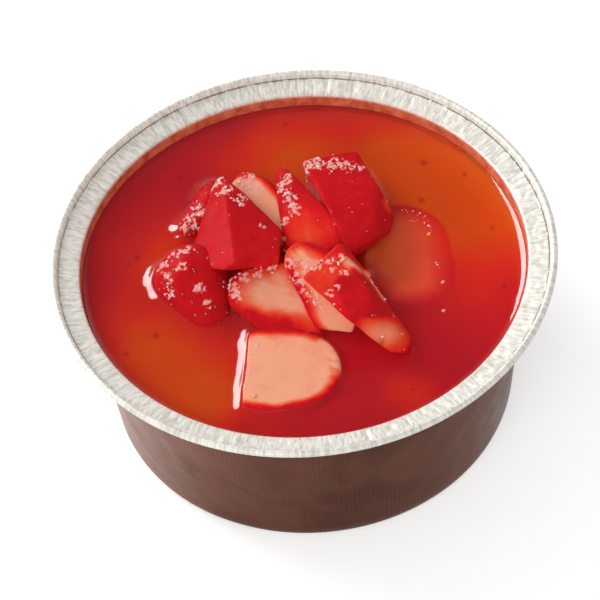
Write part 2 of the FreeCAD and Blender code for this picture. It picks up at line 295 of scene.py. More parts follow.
def cup_lacquer():
    """Brown lacquer on foil: fine upright pleats, wet patches, and painted shade, darker up under
    the flange.
    """
    material, nodes, out = new_material("brown_lacquered_foil")
    place, parts = split_place(material)
    metal = node(nodes, "BsdfPrincipled", "lacquer", {
        "Metallic": 1.0, "Specular Tint": (0.90, 0.78, 0.72, 1),
        "Coat Weight": 0.25, "Coat Roughness": 0.22})
    angle = math_node(material, "angle", "ARCTAN2", parts["Y"], parts["X"])
    pleat = math_node(material, "pleat", "SINE",
                      math_node(material, "pleats", "MULTIPLY", angle, PLEATS))
    wander = noise_node(material, "uneven pleats", place, 900, 2)
    ridge = math_node(material, "pleat height", "MULTIPLY", pleat, wander)
    patch = noise_node(material, "wet patches", place, 75, 3, 0.55, 0.6)
    wet = ramp(material, "patch edge", patch, [(0.42, 0.0), (0.62, 1.0)])
    shade = mix_colour(material, "patch colour", wet,
                       (0.148, 0.044, 0.024), (0.100, 0.027, 0.014))
    crest = math_node(material, "pleat tone", "MULTIPLY", ridge, 0.22, True)
    streak = mix_colour(material, "pleat colour", crest, shade, (0.24, 0.10, 0.062))
    # Painted shade: a band of the wall up under the flange is darkened, as the flange would shade
    # it.
    painted_rim_shade = height_ramp(material, "under the rim", parts["Z"], [(23.2, 0.0), (28.0, 0.5)])
    brown = mix_colour(material, "painted shade under the rim", painted_rim_shade, streak, (0.022, 0.006, 0.004))
    link(material, brown, metal.inputs["Base Color"])
    rough = node(nodes, "MapRange", "sheen", {"To Min": 0.36, "To Max": 0.22})
    link(material, wet, rough.inputs["Value"])
    link(material, rough.outputs[0], metal.inputs["Roughness"])
    pleated = bump(material, "pleats raised", ridge, 0.000015)
    dented = bump(material, "patches raised", patch, 0.0004, 0.5, pleated)
    link(material, dented, metal.inputs["Normal"])
    link(material, metal.outputs[0], out.inputs["Surface"])
    return material


def cup_foil():
    """Bare pressed aluminium, crinkled in fine streaks whose light and dark are partly painted
    reflection; a film of jelly wets the inner wall, and its red there is partly a painted
    reflection of the jelly.
    """
    material, nodes, out = new_material("bare_foil")
    place, parts = split_place(material)
    along = streak_place(material, parts)
    metal = node(nodes, "BsdfPrincipled", "aluminium", {"Metallic": 0.13, "Roughness": 0.4})
    streak = noise_node(material, "press streaks", along, 2.6, 3, 0.6)
    block = noise_node(material, "crinkles", along, 1.1, 2, 0.6)
    # Painted reflection: the light and dark streaks and pale crinkles in the colour stand in for
    # the crinkled foil mirroring the room; their relief is real, in the bumps below.
    tone = ramp(material, "streak tone with painted reflection", streak, [
        (0.38, (0.52, 0.50, 0.43)), (0.58, (0.97, 0.93, 0.85))])
    share = math_node(material, "tint share", "MULTIPLY", block, 0.8)
    tint = mix_colour(material, "crinkle tint with painted glints", share, tone, (0.94, 0.91, 0.83))
    # Painted reflection: from just under the jelly's level to above where it creeps, the foil is
    # tinted red, partly a real film of jelly and partly the jelly mirrored in the foil.
    film = height_ramp(material, "jelly film", parts["Z"], [
        (28.4, 0.0), (28.88, 1.0), (31.4, 1.0), (32.08, 0.0)])
    smear = noise_node(material, "smears", place, 500, 3, 0.6)
    wet = ramp(material, "film colour with painted jelly reflection", smear, [
        (0.35, (0.58, 0.09, 0.036)), (0.65, (0.84, 0.25, 0.12))])
    colour = mix_colour(material, "foil and film with painted reflection", film, tint, wet)
    link(material, colour, metal.inputs["Base Color"])
    streaked = bump(material, "streaks raised", streak, 0.00013, 0.6)
    crinkled = bump(material, "crinkles raised", block, 0.00022, 0.5, streaked)
    link(material, crinkled, metal.inputs["Normal"])
    link(material, metal.outputs[0], out.inputs["Surface"])
    return material


cup = finish_mesh(press_cup(), "pressed_cup")
cup.data.materials.append(cup_lacquer())
cup.data.materials.append(cup_foil())
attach(cup, "root")
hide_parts("foil_cup")


# ================================================================ strawberries
# Fresh strawberries, hulled, cut along the core into wedges and slices, and heaped in the
# middle of the pot.  Red skin and seeds are left on the outer side of each cut, and the flesh
# pales towards the core.

# Each cut is drawn on its whole berry, which lies along X from the hulled end to the tip.
# shoulder is how far from the hulled end it is thickest and tip is how blunt it ends, in parts
# of its radius.  A wedge has an angle and a slice a thickness.  turn is its heading, rise and
# roll in degrees, red is how deep the red goes, seeded is the share of seeds that are left, and
# each facet is a trimmed flat: a point on it and the way that it faces.
CUTS = {
    "wedge_left": dict(
        length=21.0, radius=9.8, shoulder=0.3, tip=0.3, angle=150,
        at=(-10.6, 8.2, 31.3), turn=(97, 14, -4), red=45, seeded=0.0,
        facets=[((11.1, 1.0, 1.1), (0.51, -0.85, 0.14)), ((-2.8, -7.6, 3.0), (-0.3, -0.93, -0.22)),
                ((-10.9, -5.4, 5.1), (-0.77, 0.15, -0.62)), ((-2.0, 7.8, 3.8), (0.46, 0.87, 0.18)),
                ((8.4, 0.3, 4.2), (0.17, -0.37, 0.91)), ((8.6, 0.6, 4.1), (0.21, 0.49, 0.84))]),
    "wedge_top_right": dict(
        length=22.0, radius=11.4, shoulder=0.3, tip=0.4, angle=150,
        at=(8.0, 6.7, 29.2), turn=(-76, 14, -8), red=45, seeded=0.0,
        facets=[((-10.6, -4.9, 9.1), (0.04, -0.99, -0.16)), ((-6.6, 5.1, 9.5), (-0.06, 0.95, 0.31)),
                ((6.9, 7.0, 6.3), (0.74, 0.43, -0.52)), ((-10.4, -4.9, 9.2), (0.26, -0.05, 0.96))]),
    "wedge_mid": dict(
        length=21.5, radius=8.7, shoulder=0.35, tip=0.5, angle=140,
        at=(8.3, -13.6, 31.2), turn=(-49, -15, 5), red=9, seeded=0.3,
        facets=[((-9.4, 7.3, 1.0), (0.2, 0.95, 0.25)), ((10.9, -1.6, 4.9), (0.52, -0.66, -0.55)),
                ((9.5, -3.6, 5.8), (0.04, -0.84, -0.54)), ((-7.9, 4.3, 5.6), (0.18, 0.78, 0.6)),
                ((3.8, 1.3, 5.8), (0.41, 0.02, 0.91)), ((-9.1, 1.7, 5.1), (-0.12, -0.14, 0.98))]),
    "slice_mid": dict(
        length=19.0, radius=6.7, shoulder=0.7, tip=0.5, thickness=3.1,
        at=(3.9, -7.5, 32.9), turn=(130, 16, -23), red=1.8, seeded=0.6,
        facets=[((-2.5, -7.5, -2.3), (-0.87, -0.46, -0.2)),
                ((-4.6, 6.9, 2.8), (-0.58, 0.73, -0.36))]),
    "wedge_top_mid": dict(
        length=20.0, radius=6.8, shoulder=0.55, tip=0.3, angle=110,
        at=(1.2, 10.0, 31.4), turn=(112, 14, -31), red=7.5, seeded=0.3,
        facets=[((2.9, -2.1, 3.4), (0.07, -0.13, 0.99))]),
    "slice_centre": dict(
        length=17.8, radius=7.7, shoulder=0.75, tip=0.6, thickness=3.5,
        at=(-4.7, -7.3, 30.0), turn=(158, 6, -19), red=5.5, seeded=0.6),
    "slice_back": dict(
        length=17.0, radius=8.0, shoulder=0.55, tip=0.36, thickness=3.2,
        at=(-7.0, 9.7, 29.7), turn=(-41, -3, 15), red=1.2, seeded=1.0),
    "wedge_left_back": dict(
        length=12.5, radius=5.2, shoulder=0.55, tip=0.5, angle=150,
        at=(-16.0, 13.7, 28.4), turn=(-134, 12, -6), red=3.0, seeded=1.0),
    "wedge_left_front": dict(
        length=16.5, radius=7.0, shoulder=0.7, tip=0.6, angle=150,
        at=(-17.7, -3.3, 27.9), turn=(-74, -2, 13), red=4.0, seeded=0.6),
    "slice_right": dict(
        length=23.0, radius=9.4, shoulder=0.9, tip=0.78, thickness=3.8,
        at=(16.6, 0.6, 26.4), turn=(-71, -2, -5), red=3.6, seeded=0.5),
    "slice_front": dict(
        length=16.0, radius=9.1, shoulder=0.5, tip=0.92, thickness=3.2,
        at=(-3.3, -21.9, 28.4), turn=(-9, 1, 1), red=1.6, seeded=1.0),
}
JELLY_LEVEL = 28.9
VOXEL = 0.24             # grain of the finished surface
SEED_GAP = 2.3           # between neighbouring seeds on the skin


class Berry:
    """The whole berry that a cut comes from."""

    def __init__(self, sizes):
        self.length, self.radius = sizes["length"], sizes["radius"]
        self.tip_radius = sizes["tip"] * self.radius
        self.thickest = sizes["shoulder"] * self.radius - self.length / 2
        self.tip_middle = self.length / 2 - self.tip_radius
        self.flank = math.acos((self.radius - self.tip_radius) / (self.tip_middle - self.thickest))

    def outline(self, bm):
        """Draw half the outline, from the core at the hulled end to the core at the tip."""
        hull = self.thickest + self.length / 2
        rim = math.sqrt(self.radius ** 2 - hull ** 2)
        end = bm.verts.new((-self.length / 2, 0, 0))
        end = run_on(bm, end, (-self.length / 2, rim), 6)
        shoulder_turn = math.pi - math.acos(hull / self.radius) - self.flank
        end = bend_on(bm, end, (self.thickest, 0), math.degrees(shoulder_turn), 14)
        start = self.tip_radius * Vector((math.cos(self.flank), math.sin(self.flank)))
        end = run_on(bm, end, (self.tip_middle + start.x, start.y), 12)
        bend_on(bm, end, (self.tip_middle, 0), math.degrees(self.flank), 8)

    def depth(self, place):
        """How deep a point lies under the skin."""
        rise = math.hypot(place.y, place.z)
        if math.atan2(rise, place.x - self.thickest) >= self.flank:
            return self.radius - math.hypot(place.x - self.thickest, rise)
        if math.atan2(rise, place.x - self.tip_middle) <= self.flank:
            return self.tip_radius - math.hypot(place.x - self.tip_middle, rise)
        across = (place.x - self.thickest) * math.cos(self.flank) + rise * math.sin(self.flank)
        return self.radius - across

    def skin_radius(self, x):
        """How far the skin is from the core at x."""
        start = self.thickest + self.radius * math.cos(self.flank)
        stop = self.tip_middle + self.tip_radius * math.cos(self.flank)
        if x <= start:
            return math.sqrt(max(self.radius ** 2 - (x - self.thickest) ** 2, 0))
        if x >= stop:
            return math.sqrt(max(self.tip_radius ** 2 - (x - self.tip_middle) ** 2, 0))
        share = (x - start) / (stop - start)
        return math.sin(self.flank) * (self.radius + share * (self.tip_radius - self.radius))


def on_kept_skin(place, angle, around, sizes):
    """Whether a place on the berry's skin is still there, clear of the cut's edges."""
    turned = (angle + math.pi) % (2 * math.pi) - math.pi
    if "angle" in sizes and abs(turned) > math.radians(sizes["angle"] / 2) - 0.6 / around:
        return False
    if "thickness" in sizes and abs(place.z) > sizes["thickness"] / 2 - 0.3:
        return False
    facets = sizes.get("facets", [])
    return all((place - Vector(p)).dot(Vector(n)) <= -0.4 for p, n in facets)


def seed_places(berry, sizes, dice):
    """Seeds stand in staggered rows round the skin that the cut has kept."""
    places = []
    x = -berry.length / 2 + 1.6
    last = berry.length / 2 - 0.8
    row = 0
    while x < last:
        around = berry.skin_radius(x)
        count = max(3, round(2 * math.pi * around / SEED_GAP))
        for k in range(count):
            angle = 2 * math.pi * (k + 0.5 * (row % 2) + dice.uniform(-0.15, 0.15)) / count
            place = Vector((x + dice.uniform(-0.3, 0.3),
                            around * math.sin(angle), around * math.cos(angle)))
            if on_kept_skin(place, angle, around, sizes) and dice.random() <= sizes["seeded"]:
                places.append(place)
        x += SEED_GAP * 0.86
        row += 1
    return places


def knife(bm, point, normal):
    """Cut away all that lies on the normal's side of a plane, and close the cut."""
    cut = bmesh.ops.bisect_plane(bm, geom=bm.verts[:] + bm.edges[:] + bm.faces[:], dist=1e-5,
                                 plane_co=point, plane_no=normal, clear_outer=True)
    rim = [g for g in cut["geom_cut"] if isinstance(g, bmesh.types.BMEdge)]
    bmesh.ops.contextual_create(bm, geom=rim)


def remeshed(bm, voxel):
    """The same solid with an even skin of small faces."""
    rough = finish_mesh(bm, "rough")
    remesh = rough.modifiers.new("even", "REMESH")
    remesh.mode = "VOXEL"
    remesh.voxel_size = voxel * 0.001
    graph = bpy.context.evaluated_depsgraph_get()
    mesh = bpy.data.meshes.new_from_object(rough.evaluated_get(graph))
    even = bmesh.new()
    even.from_mesh(mesh)
    bpy.data.objects.remove(rough)
    bpy.data.meshes.remove(mesh)
    bmesh.ops.scale(even, vec=(1000, 1000, 1000), verts=even.verts)
    return even


def cut_berry(sizes):
    """One cut, as its knife left it, still lying along its own core."""
    berry = Berry(sizes)
    bm = bmesh.new()
    berry.outline(bm)
    bmesh.ops.spin(bm, geom=bm.verts[:] + bm.edges[:], cent=(0, 0, 0), axis=(1, 0, 0),
                   angle=2 * math.pi, steps=64, use_merge=True)
    bmesh.ops.remove_doubles(bm, verts=bm.verts, dist=0.01)
    bmesh.ops.recalc_face_normals(bm, faces=bm.faces)
    if "thickness" in sizes:
        half = sizes["thickness"] / 2
        knife(bm, (0, 0, half), (0, 0, 1))
        knife(bm, (0, 0, -half), (0, 0, -1))
    else:
        lean = math.radians(sizes["angle"] / 2)
        for side in (1, -1):
            knife(bm, (0, 0, 0), (0, side * math.cos(lean), -math.sin(lean)))
    for point, facing in sizes.get("facets", []):
        knife(bm, point, facing)
    bmesh.ops.triangulate(bm, faces=[f for f in bm.faces if len(f.verts) > 4])
    return berry, remeshed(bm, VOXEL)


SUGAR = [                 # where wet sugar clings to the heap: x, y, z in the pot, and reach
    (-13.4, 15.8, 35.3, 1.9), (-12.1, 12.7, 36.6, 1.7), (-9.7, 10.4, 36.4, 1.5),
    (-6.4, 4.9, 35.3, 0.8),
    (-16.4, 12.4, 32.1, 1.4), (-17.4, 9.8, 31.2, 1.2), (-18.5, 11.7, 31.8, 1.7),
    (-19.5, 10.1, 31.2, 1.5), (-17.2, 13.7, 31.9, 1.4),
    (-2.2, 14, 35.1, 1.7), (-1.2, 11.2, 35.1, 1.7), (-0.8, 8.8, 34.6, 1.7),
    (-2.4, 7.5, 33.5, 1.2), (-1.4, 15.6, 35.6, 1), (-2.9, 4.3, 32.1, 0.8),
    (-2.8, 2.3, 31.3, 0.8),
    (1.9, 17, 36.1, 1.9), (4, 17.5, 36.1, 1.9), (6.4, 17.2, 35.7, 1.8), (8.9, 16.7, 35.7, 1.8),
    (11.1, 16.2, 35.2, 1), (1.8, 17.3, 32.8, 0.8),
    (-23.5, 0.2, 32.8, 1.7), (-21.6, 1.1, 34.1, 1.7), (-19.5, 1.9, 34.6, 1.5),
    (-22.9, -2.7, 32.8, 1.5), (-20.2, -1.9, 34.6, 1.5), (-22.6, -4.6, 31.6, 1.4),
    (-17.5, -5.5, 33.2, 1.2), (-16.4, -8, 32.1, 1),
    (-12.5, -4.5, 32.6, 1.7), (-11.6, -6.1, 32.1, 1.6), (-10.1, -3.6, 33, 1.5),
    (-7.9, -3.3, 33.2, 1.4), (-5.3, -2.8, 33.4, 1.2), (-11.1, -7.5, 31.6, 0.8),
    (-1.9, -4.1, 35.5, 1.7), (-0.8, -6.1, 34.6, 1.9), (0.5, -8.2, 33.8, 1.8),
    (1.5, -10.2, 32.9, 1.4), (2.3, -11.9, 32, 1), (0.4, -4.5, 35.6, 1.4),
    (2.4, -7, 38.5, 1.8), (4.3, -7.8, 38.4, 1.7), (6.5, -6.8, 38.9, 1), (6.6, -9.4, 38.2, 1),
    (5.1, -11.7, 37.5, 0.8), (3.8, -12.6, 37.2, 1), (8.4, -8, 38.1, 0.8),
    (10.6, -9.2, 34.8, 0.8), (12.4, -12.1, 33.6, 0.8),
    (13.7, -16.2, 34, 0.6), (14.8, -18.7, 32.9, 0.6),
    (-9.4, -16.5, 30, 1), (-9.7, -19.2, 29.9, 1), (-10.4, -21.8, 29.9, 1),
    (-11.2, -24.6, 29.8, 1),
    (21.9, 6.7, 27.9, 0.6), (-8.7, 17.4, 33.1, 2.0), (-8.2, 18.7, 33.2, 1.8),
    (-7.6, 16.1, 32.8, 1.5),
]
TONES = [                 # paler and redder places on the cuts: x, y, z, reach and how much
    (7.6, -7.6, 38.6, 1, 0.75), (8.8, -8, 37.5, 1, 0.75),
    (10, -8, 35.3, 1, 0.75), (11.2, -9.8, 34.6, 1, 0.75), (12.3, -11.5, 34, 1.2, 0.75),
    (14.6, -18.4, 33.1, 2.4, 0.32), (12.8, -20.3, 33.1, 2.6, 0.32),
    (11, -19.4, 33.8, 2.4, 0.36), (9.4, -18.8, 34.4, 2, 0.32), (8.4, -13.1, 37.4, 2.3, -0.4),
    (10.4, -15.7, 36.2, 1.5, -0.55), (6.4, -11.6, 37.7, 1.4, -0.55),
    (2.7, -12.7, 31.8, 2.0, 0.25), (4.2, -14.3, 31.3, 2.0, 0.1),
    (-7.3, -6.3, 32.1, 3.4, 0.45), (-9.4, -11.1, 30.4, 1.8, -0.45),
    (-5.7, -12.5, 30, 2.2, -0.5), (-2.6, -12.8, 30, 2.0, -0.4),
    (15.1, 8.9, 33.4, 1.2, 0.4), (-0.7, 6.1, 33.6, 2.6, 0.12), (0.6, 3.0, 33.1, 2.2, 0.12),
    (2.9, -16.8, 29.5, 1.5, 0.9), (4.0, -18.8, 29.5, 1.5, 0.9), (4.7, -21.0, 29.5, 1.5, 0.9),
    (4.9, -23.2, 29.5, 1.5, 0.7), (-10.8, -29.3, 29.6, 1.6, -0.4), (-8.6, -30.3, 29.6, 1.6, -0.5),
    (-6.0, -30.7, 29.6, 1.6, -0.5), (-3.6, -30.7, 29.6, 1.6, -0.5), (-1.2, -30.3, 29.6, 1.6, -0.5),
    (1.0, -29.1, 29.6, 1.5, -0.3), (-1.0, -1.8, 35.5, 1.5, 0.4), (-3.1, -2.4, 35.0, 1.5, 0.4),
    (-4.0, -4.6, 34.0, 1.4, 0.4),
]


def sugar_at(place):
    """How thick the sugar lies at a place, from 0 to 1."""
    return held(max(1.8 - 1.6 * (place - Vector(s[:3])).length / s[3] for s in SUGAR))


def tone_at(place):
    """How much paler, or below 0 redder, the flesh is at a place."""
    near = [(1 - ((place - Vector(t[:3])).length / (1.5 * t[3])) ** 2, t[4]) for t in TONES]
    return sum(max(0.0, share) * amount for share, amount in near)


SMOOTHING = 16            # passes that round the knife's edges
SKIN = 0.15               # depth of the red skin, in millimetres
SKIN_FADE = 0.35          # and how soon below it the flesh begins
GRAINS = 0.38             # share of the surface that sugar takes where it lies thickest
STRAY_GRAINS = 0.0012


def skin_and_flesh(bm, berry, sizes, seeds, lay, shift):
    """Colour each point by its depth in the berry, and dimple the skin and roughen the flesh."""
    tree = kdtree.KDTree(len(seeds) + 1)
    for i, seed in enumerate(seeds):
        tree.insert(seed, i)
    tree.insert((0, 0, 99), len(seeds))
    tree.balance()
    bm.normal_update()
    pale = bm.verts.layers.float.new("pale")
    sugar = bm.verts.layers.float.new("sugar")
    moves = []
    for vert in bm.verts:
        depth = berry.depth(vert.co)
        skin = 1 - held((depth - SKIN) / SKIN_FADE)
        seed_gap = tree.find(vert.co)[2]
        waves = 0.16 * unit_noise(*(vert.co * 0.33 + Vector((shift, 0, 0))))
        fine = 0.022 * unit_noise(*(vert.co * 1.3 + Vector((0, shift, 0))))
        dimple = -0.15 * math.exp(-(seed_gap / 0.6) ** 2)
        vein = unit_noise(vert.co.x * 0.35, math.atan2(vert.co.y, vert.co.z) * 5, shift)
        speckle = unit_noise(*(vert.co * 1.7 + Vector((3, 0, shift))))
        frost = sugar_at(lay @ vert.co)
        crust = 0.10 * frost * speckle
        moves.append(waves + fine * (1 - skin) + dimple * skin + crust)
        core = held((depth - 0.3 + 0.5 * vein) / sizes["red"]) * (1 - skin)
        vert[pale] = held(core + tone_at(lay @ vert.co))
        vert[sugar] = held(frost * (0.55 + 1.3 * speckle))
    for vert, move in zip(bm.verts, moves):
        vert.co += vert.normal * move


def sugar_places(bm, dice):
    """Where grains of sugar cling to a cut, the way out from it there, and their sizes."""
    sugar = bm.verts.layers.float["sugar"]
    grains = []
    for vert in bm.verts:
        if vert.co.z < JELLY_LEVEL + 0.3 or vert.normal.z < -0.1:
            continue
        if dice.random() < GRAINS * vert[sugar] ** 1.5 + STRAY_GRAINS:
            size = 0.08 + 0.18 * dice.random() ** 3
            grains.append((vert.co + 0.03 * vert.normal, vert.normal.copy(), size))
    return grains


def make_strawberry(name, sizes, dice):
    """A finished cut, its seeds, and the grains of sugar on it."""
    berry, bm = cut_berry(sizes)
    for _ in range(SMOOTHING):
        bmesh.ops.smooth_vert(bm, verts=bm.verts, factor=0.5,
                              use_axis_x=True, use_axis_y=True, use_axis_z=True)
    seeds = seed_places(berry, sizes, dice)
    heading, rise, roll = (math.radians(a) for a in sizes["turn"])
    turn = Euler((roll, -rise, heading)).to_matrix()
    lay = Matrix.Translation(sizes["at"]) @ turn.to_4x4()
    skin_and_flesh(bm, berry, sizes, seeds, lay, dice.uniform(0, 50))
    bmesh.ops.transform(bm, matrix=lay, verts=bm.verts)
    bm.normal_update()
    grains = sugar_places(bm, dice)
    fruit = finish_mesh(bm, name + "_fruit")
    seeds = [(lay @ seed, (turn @ Vector((0, seed.y, seed.z))).normalized(),
              turn @ Vector((1, 0, 0))) for seed in seeds]
    return fruit, seeds, grains


def strawberry_flesh():
    """Wet red skin and flesh, paler at the core, frosted where sugar has half dissolved."""
    material, nodes, out = new_material("strawberry_flesh")
    place = node(nodes, "TexCoord", "place").outputs["Object"]
    pale = node(nodes, "Attribute", "paleness", attribute_name="pale").outputs["Fac"]
    sugar = node(nodes, "Attribute", "sugar", attribute_name="sugar").outputs["Fac"]
    flesh = node(nodes, "BsdfPrincipled", "flesh", {
        "Roughness": 0.3, "Specular IOR Level": 0.015, "Subsurface Weight": 0.35,
        "Subsurface Radius": (1.0, 0.25, 0.15), "Subsurface Scale": 0.0015})
    mottle = noise_node(material, "mottle", place, 420, 3, 0.6)
    fine = noise_node(material, "fine grain", place, 1500, 2, 0.6)
    uneven = math_node(material, "uneven", "MULTIPLY", mottle, 0.30)
    both = math_node(material, "sum", "ADD", pale, uneven)
    shade = math_node(material, "shade", "SUBTRACT", both, 0.15, True)
    colour = ramp(material, "skin to core", shade, [
        (0.0, (0.56, 0.009, 0.014)), (0.16, (0.72, 0.014, 0.017)), (0.42, (0.82, 0.058, 0.022)),
        (0.70, (0.86, 0.19, 0.10)), (1.0, (0.90, 0.40, 0.25))])
    patchy = math_node(material, "part of the grain", "MULTIPLY", fine, 0.9)
    lying = math_node(material, "half sugar", "MULTIPLY", sugar, 0.5)
    thick = math_node(material, "sugar and grain", "ADD", patchy, lying)
    cover = ramp(material, "sugar cover", thick, [(0.64, 0.0), (0.84, 0.9)])
    frosted = mix_colour(material, "sugared", cover, colour, (0.95, 0.40, 0.36))
    link(material, frosted, flesh.inputs["Base Color"])
    raised = bump(material, "flesh grain", fine, 0.0002, 0.35)
    link(material, raised, flesh.inputs["Normal"])
    link(material, flesh.outputs[0], out.inputs["Surface"])
    return material


def speckled(name, label, scale, stops, roughness):
    """A plain hard material in two tones, speckled, and its colour's output."""
    material, nodes, out = new_material(name)
    place = node(nodes, "TexCoord", "place").outputs["Object"]
    solid = node(nodes, "BsdfPrincipled", label, {"Roughness": roughness})
    mottle = noise_node(material, "mottle", place, scale, 2)
    colour = ramp(material, label + " colour", mottle, stops)
    link(material, colour, solid.inputs["Base Color"])
    link(material, solid.outputs[0], out.inputs["Surface"])
    return material, nodes, solid, colour


def seed_coat():
    """Brown-red seeds, with a few ripe golden ones."""
    material, nodes, seed, colour = speckled("seed_coat", "seed", 900, [
        (0.56, (0.34, 0.010, 0.008)), (0.70, (0.62, 0.20, 0.05))], 0.3)
    ripe = node(nodes, "Attribute", "ripeness", attribute_name="golden").outputs["Fac"]
    gold = mix_colour(material, "golden seeds", ripe, colour, (0.90, 0.50, 0.12))
    link(material, gold, seed.inputs["Base Color"])
    return material


dice = random.Random(11)
flesh = strawberry_flesh()
fruits = {}
all_seeds = []
grains = []
for name, sizes in CUTS.items():
    fruit, seeds, clinging = make_strawberry(name, sizes, dice)
    fruit.data.materials.append(flesh)
    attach(fruit, "root")
    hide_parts(name)
    fruits[name] = fruit
    all_seeds += seeds
    grains += clinging

GOLDEN_SEEDS = [          # loose pale seeds on the rims of two slices
    (21.6, 5.5, 29.05), (22.9, -5.4, 29.05), (22.4, -11.6, 29.05), (-9.9, -26.7, 30.15),
]
SEED_LENGTH, SEED_WIDTH, SEED_HEIGHT = 0.52, 0.33, 0.2   # half of each
first_golden = len(all_seeds)
all_seeds += [(Vector(place), Vector((0.1, 0.1, 1)), Vector((0.7, 0.7, 0)))
              for place in GOLDEN_SEEDS]
seed_drawing = bmesh.new()
golden = seed_drawing.verts.layers.float.new("golden")
for number, (place, out_of_skin, along) in enumerate(all_seeds):
    made = bmesh.ops.create_icosphere(seed_drawing, subdivisions=1, radius=1)
    for vert in made["verts"]:
        vert[golden] = float(number >= first_golden)
    side = along.cross(out_of_skin).normalized()
    along = out_of_skin.cross(side)
    turn = Matrix((along * SEED_LENGTH, side * SEED_WIDTH, out_of_skin * SEED_HEIGHT))
    lay = Matrix.Translation(place - out_of_skin * SEED_HEIGHT) @ turn.transposed().to_4x4()
    bmesh.ops.transform(seed_drawing, matrix=lay, verts=made["verts"])
seeds_piece = finish_mesh(seed_drawing, "strawberry_seeds")
seeds_piece.data.materials.append(seed_coat())
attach(seeds_piece, "root")


# ================================================================ sugar
# Coarse white sugar, strewn over the cut fruit and half dissolved in its juice.  The small wet
# lumps cling to the fruit in patches, and a few have run out over the sunk slice.
TRAIL = [                 # grains along the rim of the sunk slice: x, y
    (16.2, 13.2), (16.9, 12.0), (17.8, 11.5), (18.5, 10.9), (19.5, 10.8), (20.3, 10.0),
    (20.9, 9.1), (21.5, 8.4), (21.9, 7.6), (22.3, 6.6), (19.2, 8.8), (19.7, 8.5), (22.5, -1.4),
    (22.1, -1.9),
]
for x, y in TRAIL:
    for _ in range(2):
        place = Vector((x + dice.uniform(-0.5, 0.5), y + dice.uniform(-0.5, 0.5),
                        JELLY_LEVEL + 0.05))
        grains.append((place, Vector((0, 0, 1)), 0.08 + 0.14 * dice.random() ** 2))

sugar_drawing = bmesh.new()
for place, facing, size in grains:
    made = bmesh.ops.create_icosphere(sugar_drawing, subdivisions=1, radius=size)
    flat = Matrix.Diagonal((dice.uniform(0.8, 1.2), dice.uniform(0.8, 1.2),
                            dice.uniform(0.5, 0.8), 1))
    lay = Matrix.Translation(place) @ facing.to_track_quat("Z", "Y").to_matrix().to_4x4() @ flat
    bmesh.ops.transform(sugar_drawing, matrix=lay, verts=made["verts"])
sugar_piece = finish_mesh(sugar_drawing, "sugar_grains")
sugar_piece.data.materials.append(speckled("wet_sugar", "sugar", 1300, [
    (0.38, (0.94, 0.44, 0.40)), (0.60, (1.0, 0.84, 0.80))], 0.12)[0])
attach(sugar_piece, "root")


# ================================================================ pulp
# Dark scraps of seed and pulp, rubbed off the fruit as it was cut.  They float just under the
# jelly's surface, where they set.
BITS = [                  # x, y, size
    (-1.0, 34.0, 0.45), (22.3, 21.9, 0.55), (21.1, 13.2, 0.5), (-19.8, 23.5, 0.5),
    (-27.9, 6.3, 0.55), (-25.5, -11.2, 0.55), (-30.5, -14.7, 0.4), (32.9, -7.7, 0.4),
    (-29.5, 4.9, 0.35), (15.8, -27.6, 0.3), (29.0, 18.1, 0.4), (32.3, 5.5, 0.35),
]
BIT_DEPTH = 0.65

bits_drawing = bmesh.new()
for x, y, size in BITS:
    made = bmesh.ops.create_icosphere(bits_drawing, subdivisions=2, radius=1)
    squash = Matrix.Diagonal((size * dice.uniform(0.7, 1.1), size * dice.uniform(0.7, 1.1),
                              size * 0.4, 1))
    spot = Matrix.Translation((x, y, JELLY_LEVEL - BIT_DEPTH))
    lay = spot @ Matrix.Rotation(dice.uniform(0, 3), 4, "Z") @ squash
    bmesh.ops.transform(bits_drawing, matrix=lay, verts=made["verts"])
bits = finish_mesh(bits_drawing, "pulp_bits")
bits.data.materials.append(speckled("pulp", "scrap", 1200, [
    (0.4, (0.10, 0.006, 0.006)), (0.7, (0.28, 0.02, 0.01))], 0.6)[0])
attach(bits, "root")


# ================================================================ jelly
# Clear strawberry jelly, poured over the fruit and set.  It fills the cup to its level, wets
# the foil and the fruit, and creeps a little way up both.
JELLY_REACH = 37.34       # radius of its surface, which ends within a hair of the foil
JELLY_FOOT = (34.45, 2.2)     # radius and height where the wall ends
JELLY_CORNER = (32.4, 2.15)   # middle of the rounded corner below it
JELLY_BASE = 0.12
JELLY_STEPS = 540
FOIL_NEAR = 34.0          # radius from which its rings lie closer, to creep up the foil
CREEP = 0.95              # how high the jelly creeps up what it touches
CREEP_SPREAD = 1.25       # how far from it that begins
POOL = (-20.5, 10.5)      # where more of it gathers, between two cuts
PAINTED_LIGHT_POOLS = [                 # painted light: where the jelly is painted lit orange, elsewhere painted shaded crimson: x, y, reach, how much
    (29, 10, 15, 1.0), (17, 21, 12, 0.95), (-2, 25, 9, 0.85), (-23, 6, 8, 0.6),
    (-18, -25, 10, 0.85), (-27, -13, 9, 0.7), (16, -29, 4, 0.4),
]


def shown_fruit():
    """The part of the heap that stands out of the jelly, in millimetres."""
    corners, faces = [], []
    for fruit in fruits.values():
        mesh = fruit.data
        first = len(corners)
        corners += [v.co * 1000 for v in mesh.vertices]
        for face in mesh.polygons:
            if max(mesh.vertices[v].co.z for v in face.vertices) * 1000 > JELLY_LEVEL:
                faces.append([first + v for v in face.vertices])
    return BVHTree.FromPolygons(corners, faces)


def whole_heap():
    """Every face of the heap, in millimetres, and how pale the flesh is on it."""
    corners, faces, paleness = [], [], []
    for fruit in fruits.values():
        mesh = fruit.data
        first = len(corners)
        corners += [v.co * 1000 for v in mesh.vertices]
        pale = mesh.attributes["pale"].data
        for face in mesh.polygons:
            faces.append([first + v for v in face.vertices])
            paleness.append(pale[face.vertices[0]].value)
    return BVHTree.FromPolygons(corners, faces), paleness


